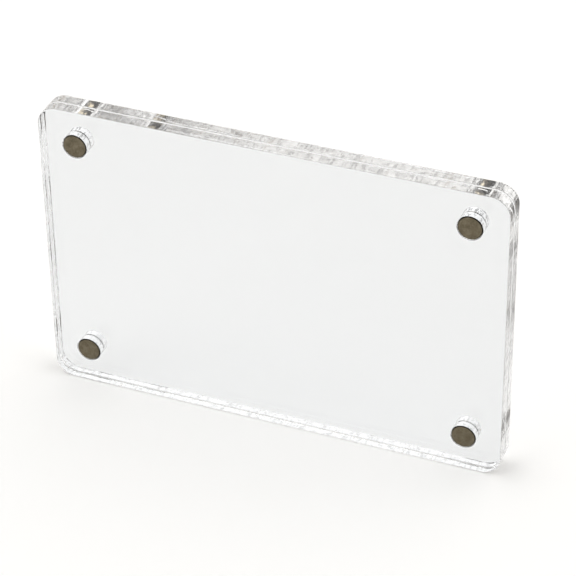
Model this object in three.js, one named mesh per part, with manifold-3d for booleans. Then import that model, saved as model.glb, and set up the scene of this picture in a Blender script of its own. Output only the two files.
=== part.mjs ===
// Freestanding photo frame: two clear acrylic plates with rounded corners, held face to face
// by pairs of disc magnets set in through holes near the corners.
// Millimetres. X runs along the long edge, Y from front to back, Z up from the standing edge.
import * as THREE from "three";
import { mergeVertices } from "three/addons/utils/BufferGeometryUtils.js";
import Module from "manifold-3d";

const wasm = await Module();
wasm.setup();

// Plates
const PLATE_WIDTH = 152.4;
const PLATE_HEIGHT = 101.6;
const FRONT_PLATE_THICKNESS = 4.35;
const BACK_PLATE_THICKNESS = 4.35;
const CORNER_RADIUS = 6.35;
const EDGE_ROUND = 0.4; // rounding of the polished outer edges

// Magnets
const MAGNET_DIAMETER = 8;
const MAGNET_INSET = 12.2; // from the plate's nearest edges to a magnet's axis
const MAGNET_RIM = 0.4; // rounding of the plated rim
const MAGNET_FIT = 0.15; // radial clearance between a magnet and its hole
const MAGNET_RECESS = 0.02; // how far a magnet lies below its plate's outer face
const MAGNET_STAND = 0.12; // how far a magnet stands out of its plate's inner face
const MAGNET_CONTACT = 0.05; // left between the two magnets of a pair

// The magnets meet first, so they keep a slot open between the plates for the photograph.
const PRINT_SLOT = 2 * MAGNET_STAND + MAGNET_CONTACT;

// Facets
const CORNER_STEPS = 12;
const EDGE_STEPS = 3;
const HOLE_FACETS = 56;
const RIM_STEPS = 3;

const acrylic = new THREE.MeshStandardMaterial({
  name: "clear_acrylic",
  color: 0xf4f8f8,
  roughness: 0.04,
  metalness: 0,
  transparent: true,
  opacity: 0.3,
});
const magnetPlating = new THREE.MeshStandardMaterial({
  name: "magnet_nickel",
  color: 0x7d7566,
  roughness: 0.38,
  metalness: 1,
});

// A closed mesh's geometry as a solid for joining and cutting.
function solidOf(geometry) {
  const bare = geometry.clone();
  bare.deleteAttribute("normal");
  bare.deleteAttribute("uv");
  const merged = mergeVertices(bare, 1e-5);
  return new wasm.Manifold(
    new wasm.Mesh({
      numProp: 3,
      vertProperties: new Float32Array(merged.attributes.position.array),
      triVerts: new Uint32Array(merged.index.array),
    }),
  );
}

// A solid as a geometry with flat-shaded faces.
function geometryOf(solid) {
  const mesh = solid.getMesh();
  const geometry = new THREE.BufferGeometry();
  geometry.setAttribute("position", new THREE.BufferAttribute(new Float32Array(mesh.vertProperties), 3));
  geometry.setIndex(new THREE.BufferAttribute(new Uint32Array(mesh.triVerts), 1));
  const faceted = geometry.toNonIndexed();
  faceted.computeVertexNormals();
  return faceted;
}

// Outline of a plate with its four corners rounded, standing on the long edge, centred on X.
function plateOutline(inset) {
  const left = -PLATE_WIDTH / 2 + inset;
  const right = PLATE_WIDTH / 2 - inset;
  const bottom = inset;
  const top = PLATE_HEIGHT - inset;
  const radius = CORNER_RADIUS - inset;
  const outline = new THREE.Shape();
  outline.moveTo(left + radius, bottom);
  outline.lineTo(right - radius, bottom);
  outline.absarc(right - radius, bottom + radius, radius, -Math.PI / 2, 0, false);
  outline.lineTo(right, top - radius);
  outline.absarc(right - radius, top - radius, radius, 0, Math.PI / 2, false);
  outline.lineTo(left + radius, top);
  outline.absarc(left + radius, top - radius, radius, Math.PI / 2, Math.PI, false);
  outline.lineTo(left, bottom + radius);
  outline.absarc(left + radius, bottom + radius, radius, Math.PI, 1.5 * Math.PI, false);
  return outline;
}

// Axis of each magnet pair, seen from the front.
const magnetAxes = {
  top_left: [-PLATE_WIDTH / 2 + MAGNET_INSET, PLATE_HEIGHT - MAGNET_INSET],
  top_right: [PLATE_WIDTH / 2 - MAGNET_INSET, PLATE_HEIGHT - MAGNET_INSET],
  bottom_left: [-PLATE_WIDTH / 2 + MAGNET_INSET, MAGNET_INSET],
  bottom_right: [PLATE_WIDTH / 2 - MAGNET_INSET, MAGNET_INSET],
};

// One plate lying in X and Z, with its front face at Y = 0 and its back face at Y = thickness.
function plateGeometry(thickness) {
  const blank = new THREE.ExtrudeGeometry(plateOutline(EDGE_ROUND), {
    depth: thickness - 2 * EDGE_ROUND,
    curveSegments: CORNER_STEPS,
    bevelEnabled: true,
    bevelThickness: EDGE_ROUND,
    bevelSize: EDGE_ROUND,
    bevelSegments: EDGE_STEPS,
  });
  blank.translate(0, 0, EDGE_ROUND);
  blank.rotateX(Math.PI / 2);
  blank.translate(0, thickness, 0);
  let plate = solidOf(blank);
  const holeRadius = MAGNET_DIAMETER / 2 + MAGNET_FIT;
  for (const [x, z] of Object.values(magnetAxes)) {
    const drill = new THREE.CylinderGeometry(holeRadius, holeRadius, 2 * thickness, HOLE_FACETS);
    drill.translate(x, thickness / 2, z);
    plate = plate.subtract(solidOf(drill));
  }
  return geometryOf(plate);
}

// A plated disc magnet on the Y axis, from Y = 0 backwards, with its rims rounded.
function magnetGeometry(length) {
  const radius = MAGNET_DIAMETER / 2;
  const profile = [new THREE.Vector2(0, 0)];
  for (let i = 0; i <= RIM_STEPS; i++) {
    const turn = ((i / RIM_STEPS) * Math.PI) / 2;
    profile.push(
      new THREE.Vector2(
        radius - MAGNET_RIM + MAGNET_RIM * Math.sin(turn),
        MAGNET_RIM - MAGNET_RIM * Math.cos(turn),
      ),
    );
  }
  for (let i = 0; i <= RIM_STEPS; i++) {
    const turn = ((i / RIM_STEPS) * Math.PI) / 2;
    profile.push(
      new THREE.Vector2(
        radius - MAGNET_RIM + MAGNET_RIM * Math.cos(turn),
        length - MAGNET_RIM + MAGNET_RIM * Math.sin(turn),
      ),
    );
  }
  profile.push(new THREE.Vector2(0, length));
  return new THREE.LatheGeometry(profile, HOLE_FACETS);
}

const frame = new THREE.Group();

// The magnets of a pair meet on the plane Y = 0, in the middle of the slot.
// A magnet starts below its own plate's front face, or stands out in front of it.
const plates = [
  {
    side: "front",
    thickness: FRONT_PLATE_THICKNESS,
    place: -PRINT_SLOT / 2 - FRONT_PLATE_THICKNESS,
    magnetStart: MAGNET_RECESS,
  },
  {
    side: "back",
    thickness: BACK_PLATE_THICKNESS,
    place: PRINT_SLOT / 2,
    magnetStart: -MAGNET_STAND,
  },
];

for (const { side, thickness, place, magnetStart } of plates) {
  const assembly = new THREE.Group();
  assembly.position.y = place;
  frame.add(assembly);

  const plate = new THREE.Mesh(plateGeometry(thickness), acrylic);
  plate.name = `${side}_plate`;
  assembly.add(plate);

  const magnetLength = thickness - MAGNET_RECESS + MAGNET_STAND;
  for (const [corner, [x, z]] of Object.entries(magnetAxes)) {
    const magnet = new THREE.Mesh(magnetGeometry(magnetLength), magnetPlating);
    magnet.name = `${side}_magnet_${corner}`;
    magnet.position.set(x, magnetStart, z);
    assembly.add(magnet);
  }
}

export default frame;
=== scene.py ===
import bpy
import bmesh
from math import pi, radians
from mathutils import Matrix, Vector


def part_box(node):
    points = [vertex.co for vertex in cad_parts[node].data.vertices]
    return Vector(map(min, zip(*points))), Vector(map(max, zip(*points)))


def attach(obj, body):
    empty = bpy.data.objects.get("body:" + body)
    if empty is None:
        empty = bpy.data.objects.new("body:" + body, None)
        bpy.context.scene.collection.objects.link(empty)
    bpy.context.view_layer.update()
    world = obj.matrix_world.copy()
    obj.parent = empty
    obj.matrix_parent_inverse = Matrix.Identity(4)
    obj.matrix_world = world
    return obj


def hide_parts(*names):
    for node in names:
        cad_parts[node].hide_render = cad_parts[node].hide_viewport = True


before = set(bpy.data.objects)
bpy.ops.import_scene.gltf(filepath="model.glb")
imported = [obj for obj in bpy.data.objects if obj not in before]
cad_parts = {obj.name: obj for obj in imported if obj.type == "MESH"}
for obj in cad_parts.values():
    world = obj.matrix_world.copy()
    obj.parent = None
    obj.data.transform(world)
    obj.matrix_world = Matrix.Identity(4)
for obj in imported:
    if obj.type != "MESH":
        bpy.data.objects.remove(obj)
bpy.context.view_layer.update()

MM = 0.001

# Plates and magnets, in metres.
FRONT_LOW, FRONT_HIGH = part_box("front_plate")
WIDTH = FRONT_HIGH[0] - FRONT_LOW[0]
HEIGHT = FRONT_HIGH[2] - FRONT_LOW[2]
PLATE_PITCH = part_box("back_plate")[0][1] - FRONT_LOW[1]  # from one plate's front to the next one's
CORNER_RADIUS = 6.35 * MM
EDGE_ROUND = 0.4 * MM
HOLE_BREAK = 0.06 * MM  # rounding of the holes' rims
HOLE_CLEARANCE = 0.15 * MM
MAGNET_INSET = 12.2 * MM
MAGNET_RIM = 0.4 * MM
SIDES = ("front", "back")
CORNERS = ("top_left", "top_right", "bottom_left", "bottom_right")

# Segments of the rounded shapes
CORNER_SEGMENTS = 32
EDGE_SEGMENTS = 5
BREAK_SEGMENTS = 2
RIM_SEGMENTS = 5
HOLE_FACETS = 128
MAGNET_FACETS = 96
SMOOTH_ANGLE = radians(8)
SHARP_ANGLE = radians(60)  # an edge that is folded more than this is a rim
SAME_PLACE = 1e-6
SAME_DEPTH = 1e-7

# Marks of the laser on the cut faces, in millimetres of depth
WAVE_DEPTH = 0.0015
LINE_DEPTH = 0.0003
RIB_DEPTH = 0.06

# How close the marks lie: noise cells in a metre
WAVE_SCALE = 700.0
LINE_SCALE = 3200.0
RIB_SCALE = 1700.0
DASH_SCALE = 2200.0
BLOTCH_SCALE = 520.0
TAN_SCALE = 420.0
# How much the marks are drawn out through the sheet: less is longer
LINE_STRETCH = 0.06
DASH_STRETCH = 0.1
BLOTCH_STRETCH = 1.2

# Acrylic
ACRYLIC_IOR = 1.49
FACE_TINT = (0.913, 0.92, 0.927, 1)
CUT_TINT = (1.0, 1.0, 1.0, 1)
CUT_ROUGHNESS = 0.01
DEPTH_TINT = (0.5, 0.5, 0.5, 1)
DEPTH_DENSITY = 0.25
# Painted dark reflections on the cut faces: near-black, with tan patches for warm reflections
PAINTED_DARK_REFLECTION = (0.012, 0.01, 0.01, 1)
TAN = (0.3, 0.22, 0.14, 1)
FRONT_PAINTED_REFLECTION = 0.05  # strength of the painted dark reflections in the front part of each sheet

# Magnets
# The rim colour is painted shade, near-black round each disc's face
RIM_PAINTED_SHADE = (0.02, 0.018, 0.015, 1)
DARK_SATIN = (0.11, 0.092, 0.06, 1)
LIGHT_SATIN = (0.21, 0.18, 0.125, 1)
# The side colours are painted shade and a painted highlight
PAINTED_SHADE_SIDE = (0.035, 0.026, 0.02, 1)
PAINTED_HIGHLIGHT_SIDE = (0.80, 0.70, 0.52, 1)
GRAIN_SCALE = 3000.0
CLOUD_SCALE = 420.0
HIGHLIGHT_PATCH_SCALE = 330.0
GRAIN_DEPTH = 0.00003
GRAIN_STRENGTH = 0.5

# Floor and room
FLOOR_SIZE = 6
FLOOR_DROP = 0.0001
PAPER_DARK = (0.985, 0.98, 0.968, 1)
PAPER_LIGHT = (0.99, 0.985, 0.975, 1)
ROOM_COLOUR = (1.0, 0.995, 0.985, 1)
ROOM_STRENGTH = 1.21
WINDOW_STRENGTH = 0.10
DARK_END_DEPTH = 0.95

# Camera, fitted to the edges in the photograph
CAMERA_PLACE = (0.25341, -0.60312, 0.50493)
CAMERA_TURN = (55.1428, 0.7522, 21.9097)
CAMERA_LENS = 160.794
CAMERA_SENSOR = 36
CAMERA_CLIP_START = 0.01

# The light runs a long way inside the sheets before it comes out of a cut face
LIGHT_BOUNCES = 160


class Wire:
    """A shader socket that takes part in sums."""

    def __init__(self, tree, socket):
        self.tree = tree
        self.socket = socket

    def maths(self, operation, *values):
        node = self.tree.nodes.new("ShaderNodeMath")
        node.operation = operation
        for slot, value in zip(node.inputs, values):
            if isinstance(value, Wire):
                self.tree.links.new(value.socket, slot)
            else:
                slot.default_value = value
        return Wire(self.tree, node.outputs[0])

    def __add__(self, other):
        return self.maths("ADD", self, other)

    def __radd__(self, other):
        return self.maths("ADD", other, self)

    def __sub__(self, other):
        return self.maths("SUBTRACT", self, other)

    def __rsub__(self, other):
        return self.maths("SUBTRACT", other, self)

    def __mul__(self, other):
        return self.maths("MULTIPLY", self, other)

    def __truediv__(self, other):
        return self.maths("DIVIDE", self, other)

    def __abs__(self):
        return self.maths("ABSOLUTE", self)

    def power(self, exponent):
        return self.maths("POWER", self, exponent)

    def ramp(self, low, high):
        """0 below low, 1 above high, and smooth between."""
        node = self.tree.nodes.new("ShaderNodeMapRange")
        node.interpolation_type = "SMOOTHSTEP"
        self.tree.links.new(self.socket, node.inputs["Value"])
        node.inputs["From Min"].default_value = low
        node.inputs["From Max"].default_value = high
        return Wire(self.tree, node.outputs["Result"])


class Finish:
    """A material, or a world, and its nodes."""

    def __init__(self, owner):
        owner.use_nodes = True
        self.owner = owner
        self.tree = owner.node_tree
        self.tree.nodes.clear()

    def connect(self, value, socket):
        """Links a wire to the socket, or sets the socket to a constant."""
        if isinstance(value, Wire):
            self.tree.links.new(value.socket, socket)
        else:
            socket.default_value = value

    def node(self, kind, settings=None, **values):
        node = self.tree.nodes.new("ShaderNode" + kind)
        for name, value in (settings or {}).items():
            setattr(node, name, value)
        for name, value in values.items():
            self.connect(value, node.inputs[name.replace("_", " ")])
        return node

    def wire(self, node, output=0):
        return Wire(self.tree, node.outputs[output])

    def parts(self, vector):
        node = self.node("SeparateXYZ", Vector=vector)
        return [self.wire(node, axis) for axis in "XYZ"]

    def place(self, x, y, z):
        return self.wire(self.node("CombineXYZ", X=x, Y=y, Z=z))

    def noise(self, vector, scale, detail=2.0, roughness=0.5):
        node = self.node(
            "TexNoise", Vector=vector, Scale=scale, Detail=detail, Roughness=roughness
        )
        return self.wire(node, "Fac")

    def blend(self, factor, first, second):
        node = self.node("Mix", {"data_type": "RGBA"})
        self.connect(factor, node.inputs["Factor"])
        # Sockets 6 and 7 are the two colours, and output 2 is their mix
        self.connect(first, node.inputs[6])
        self.connect(second, node.inputs[7])
        return self.wire(node, 2)

    def bump(self, height, distance, strength=1.0):
        node = self.node("Bump", Height=height, Distance=distance, Strength=strength)
        return self.wire(node, "Normal")

    def finish(self, surface, volume=None, output="OutputMaterial"):
        out = self.node(output, Surface=self.wire(surface))
        if volume:
            self.tree.links.new(volume.outputs[0], out.inputs["Volume"])
        return self.owner


def clear_acrylic():
    acrylic = Finish(bpy.data.materials.new("clear acrylic"))
    x, y, z = acrylic.parts(acrylic.wire(acrylic.node("TexCoord"), "Object"))
    facing = acrylic.parts(acrylic.wire(acrylic.node("NewGeometry"), "True Normal"))
    cut = 1 - abs(facing[1]).ramp(0.5, 0.9)
    straight = abs(facing[0]).maths("MAXIMUM", abs(facing[2])).ramp(0.95, 0.999)
    # Distances from the nearest magnet's axis, positive away from the frame's middle
    across = abs(x) - (WIDTH / 2 - MAGNET_INSET)
    up = abs(z - HEIGHT / 2) - (HEIGHT / 2 - MAGNET_INSET)
    from_axis = (across * across + up * up).power(0.5)
    hole = 1 - from_axis.ramp(4.6 * MM, 5.0 * MM)
    tight = cut * (1 - straight).maths("MAXIMUM", hole)

    # The laser leaves fine lines straight through the sheet on every cut face,
    # and deeper ribs where it slows down for the corners and the holes
    through = acrylic.place(x, y * LINE_STRETCH, z)
    waves = acrylic.noise(through, WAVE_SCALE, 2.0)
    lines = acrylic.noise(through, LINE_SCALE, 1.0)
    ribs = acrylic.noise(through, RIB_SCALE, 0.0)
    shallow = cut * (waves * WAVE_DEPTH + lines * LINE_DEPTH)
    height = shallow + tight * (ribs * RIB_DEPTH)

    # Painted dark reflections round the top right corner and on the holes' upper right,
    # strongest in the back part of each sheet
    depth_in = ((y - FRONT_LOW[1]) / PLATE_PITCH).maths("FRACT")
    rear = depth_in.ramp(0.4, 0.6) * (1 - depth_in.ramp(0.86, 0.93))
    dashes = acrylic.noise(acrylic.place(x, y * DASH_STRETCH, z), DASH_SCALE, 0.0)
    blotches = acrylic.noise(acrylic.place(x, y * BLOTCH_STRETCH, z), BLOTCH_SCALE, 1.0)
    corner = (1 - straight) * x.ramp(0.050, 0.066) * z.ramp(0.070, 0.088)
    to_right = across * x.maths("SIGN")
    to_top = up * (z - HEIGHT / 2).maths("SIGN")
    hole_top = hole * (to_right * 0.5 + to_top * 0.85).ramp(-1.0 * MM, 1.5 * MM)
    reflection_streaks = cut * dashes.ramp(0.53, 0.56) * blotches.ramp(0.42, 0.46)
    strength = FRONT_PAINTED_REFLECTION + rear * (1 - FRONT_PAINTED_REFLECTION)
    painted_dark_reflections = reflection_streaks * corner.maths("MAXIMUM", hole_top) * strength

    clear = acrylic.node(
        "BsdfPrincipled",
        Base_Color=acrylic.blend(cut, FACE_TINT, CUT_TINT),
        Metallic=0.0,
        Roughness=cut * CUT_ROUGHNESS,
        IOR=ACRYLIC_IOR,
        Transmission_Weight=1.0,
        Normal=acrylic.bump(height, MM),
    )
    # Tan patches among the painted dark reflections stand for warm reflections
    tan = acrylic.noise(through, TAN_SCALE, 1.0).ramp(0.55, 0.65)
    painted_reflections = acrylic.node(
        "BsdfPrincipled",
        Base_Color=acrylic.blend(tan, PAINTED_DARK_REFLECTION, TAN),
        Roughness=0.5,
        Specular_IOR_Level=0.2,
    )
    surface = acrylic.node("MixShader", Fac=painted_dark_reflections)
    acrylic.tree.links.new(clear.outputs[0], surface.inputs[1])
    acrylic.tree.links.new(painted_reflections.outputs[0], surface.inputs[2])
    depth = acrylic.node("VolumeAbsorption", Color=DEPTH_TINT, Density=DEPTH_DENSITY)
    return acrylic.finish(surface, volume=depth)


def magnet_plating():
    plating = Finish(bpy.data.materials.new("dark nickel with painted shade and highlights"))
    place = plating.wire(plating.node("TexCoord"), "Object")
    facing = plating.parts(plating.wire(plating.node("NewGeometry"), "Normal"))
    face = abs(facing[1]).ramp(0.975, 0.999)
    side = 1 - abs(facing[1]).ramp(0.05, 0.3)
    grain = plating.noise(place, GRAIN_SCALE, 3.0, 0.6)
    cloud = plating.noise(place, CLOUD_SCALE, 3.0, 0.6)
    patches = (cloud * 0.5 + grain * 0.5).ramp(0.35, 0.65)
    satin = plating.blend(patches, DARK_SATIN, LIGHT_SATIN)
    # Painted shade: the rounded rim round each face is near-black
    rim = plating.blend(face, RIM_PAINTED_SHADE, satin)
    # The sides carry a painted highlight where they face up, broken into patches by noise, and
    # painted shade elsewhere
    highlight_patches = plating.noise(place, HIGHLIGHT_PATCH_SCALE, 2.0, 0.6)
    painted_highlight = facing[2].ramp(0.80, 0.97) * highlight_patches.ramp(0.40, 0.56)
    sides = plating.blend(painted_highlight, PAINTED_SHADE_SIDE, PAINTED_HIGHLIGHT_SIDE)
    surface = plating.node(
        "BsdfPrincipled",
        Base_Color=plating.blend(side, rim, sides),
        Metallic=1.0,
        Roughness=0.16 + face * (0.18 + grain * 0.25),
        Normal=plating.bump(grain * face, GRAIN_DEPTH, GRAIN_STRENGTH),
    )
    return plating.finish(surface)


def white_paper():
    paper = Finish(bpy.data.materials.new("white paper"))
    place = paper.wire(paper.node("TexCoord"), "Object")
    tone = paper.noise(place, 1.5, 2.0)
    surface = paper.node(
        "BsdfPrincipled",
        Base_Color=paper.blend(tone, PAPER_DARK, PAPER_LIGHT),
        Roughness=1.0,
        Specular_IOR_Level=0.0,
    )
    return paper.finish(surface)


def select_only(piece):
    bpy.ops.object.select_all(action="DESELECT")
    piece.select_set(True)
    bpy.context.view_layer.objects.active = piece


def middle_and_size(node):
    low, high = (Vector(end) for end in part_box(node))
    return (low + high) / 2, high - low


def add_cylinder(centre, radius, depth, facets):
    """A cylinder that runs from front to back."""
    bpy.ops.object.select_all(action="DESELECT")
    bpy.ops.mesh.primitive_cylinder_add(
        vertices=facets,
        radius=radius,
        depth=depth,
        location=centre,
        rotation=(pi / 2, 0, 0),
    )
    return bpy.context.object


def round_edges(piece, wanted, offset, segments):
    """Rounds the edges that are wanted."""
    select_only(piece)
    bpy.ops.object.mode_set(mode="EDIT")
    bpy.ops.mesh.select_mode(type="EDGE")
    bpy.ops.mesh.select_all(action="DESELECT")
    mesh = bmesh.from_edit_mesh(piece.data)
    for edge in mesh.edges:
        if wanted(edge):
            edge.select_set(True)
    bmesh.update_edit_mesh(piece.data)
    bpy.ops.mesh.bevel(offset=offset, segments=segments, affect="EDGES")
    bpy.ops.object.mode_set(mode="OBJECT")


def settle(piece, name, node, material):
    """Names a finished piece, and puts its place into its mesh."""
    select_only(piece)
    bpy.ops.object.transform_apply(location=True, rotation=True, scale=True)
    bpy.ops.object.shade_smooth_by_angle(angle=SMOOTH_ANGLE)
    piece.name = piece.data.name = name
    piece.data.materials.clear()
    piece.data.materials.append(material)
    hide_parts(node)
    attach(piece, "root")


def bore(plate, centre, radius, depth):
    drill = add_cylinder(centre, radius, depth, HOLE_FACETS)
    hole = plate.modifiers.new("hole", "BOOLEAN")
    hole.operation = "DIFFERENCE"
    hole.solver = "EXACT"
    hole.object = drill
    select_only(plate)
    bpy.ops.object.modifier_apply(modifier=hole.name)
    bpy.data.objects.remove(drill)


def make_plate(side, material):
    centre, size = middle_and_size(side + "_plate")
    front, back = (end[1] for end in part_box(side + "_plate"))
    bpy.ops.object.select_all(action="DESELECT")
    bpy.ops.mesh.primitive_cube_add(size=1, location=centre, scale=size)
    plate = bpy.context.object
    bpy.ops.object.transform_apply(location=True, rotation=True, scale=True)

    def through_edge(edge):
        a, b = (v.co for v in edge.verts)
        return abs(a.x - b.x) < SAME_PLACE and abs(a.z - b.z) < SAME_PLACE

    def rim_edge(edge):
        a, b = (v.co for v in edge.verts)
        in_plane = abs(a.y - b.y) < SAME_DEPTH
        on_face = in_plane and min(abs(a.y - front), abs(a.y - back)) < SAME_PLACE
        return on_face and edge.calc_face_angle() > SHARP_ANGLE

    round_edges(plate, through_edge, CORNER_RADIUS, CORNER_SEGMENTS)
    round_edges(plate, rim_edge, EDGE_ROUND, EDGE_SEGMENTS)
    for corner in CORNERS:
        axis, disc = middle_and_size(side + "_magnet_" + corner)
        hole_radius = disc.x / 2 + HOLE_CLEARANCE
        bore(plate, (axis.x, centre.y, axis.z), hole_radius, 3 * size.y)
    round_edges(plate, rim_edge, HOLE_BREAK, BREAK_SEGMENTS)
    settle(plate, side + "_sheet", side + "_plate", material)


def make_magnet(side, corner, material):
    node = side + "_magnet_" + corner
    centre, size = middle_and_size(node)
    magnet = add_cylinder(centre, size.x / 2, size.y, MAGNET_FACETS)

    def rim_edge(edge):
        return edge.calc_face_angle() > SHARP_ANGLE

    round_edges(magnet, rim_edge, MAGNET_RIM, RIM_SEGMENTS)
    settle(magnet, side + "_disc_" + corner, node, material)


def make_floor(material):
    bpy.ops.object.select_all(action="DESELECT")
    bpy.ops.mesh.primitive_plane_add(size=FLOOR_SIZE, location=(0, 0, -FLOOR_DROP))
    floor = bpy.context.object
    floor.name = "floor"
    floor.data.materials.append(material)


def light_room():
    room = Finish(bpy.data.worlds.new("soft studio"))
    x, y, z = room.parts(room.wire(room.node("TexCoord"), "Generated"))
    # A broad soft window high behind the frame on the left, a dimmer room around,
    # and the dark end of the studio behind the camera
    window = (x * -0.40 + y * 0.50 + z * 0.77).ramp(0.35, 0.95)
    dark_end = (x * 0.36 + y * -0.80 + z * 0.48).ramp(0.72, 0.90)
    strength = (ROOM_STRENGTH + window * WINDOW_STRENGTH) * (1 - dark_end * DARK_END_DEPTH)
    background = room.node("Background", Color=ROOM_COLOUR, Strength=strength)
    bpy.context.scene.world = room.finish(background, output="OutputWorld")


def set_camera():
    data = bpy.data.cameras.new("camera")
    camera = bpy.data.objects.new("camera", data)
    bpy.context.scene.collection.objects.link(camera)
    camera.location = CAMERA_PLACE
    camera.rotation_euler = [radians(turn) for turn in CAMERA_TURN]
    data.lens = CAMERA_LENS
    data.sensor_width = CAMERA_SENSOR
    data.clip_start = CAMERA_CLIP_START
    bpy.context.scene.camera = camera


set_camera()
acrylic = clear_acrylic()
plating = magnet_plating()
for side in SIDES:
    make_plate(side, acrylic)
    for corner in CORNERS:
        make_magnet(side, corner, plating)
make_floor(white_paper())
light_room()

bpy.context.scene.view_settings.view_transform = "Standard"
cycles = bpy.context.scene.cycles
cycles.blur_glossy = 0.0
cycles.max_bounces = LIGHT_BOUNCES
cycles.transmission_bounces = LIGHT_BOUNCES
cycles.glossy_bounces = LIGHT_BOUNCES
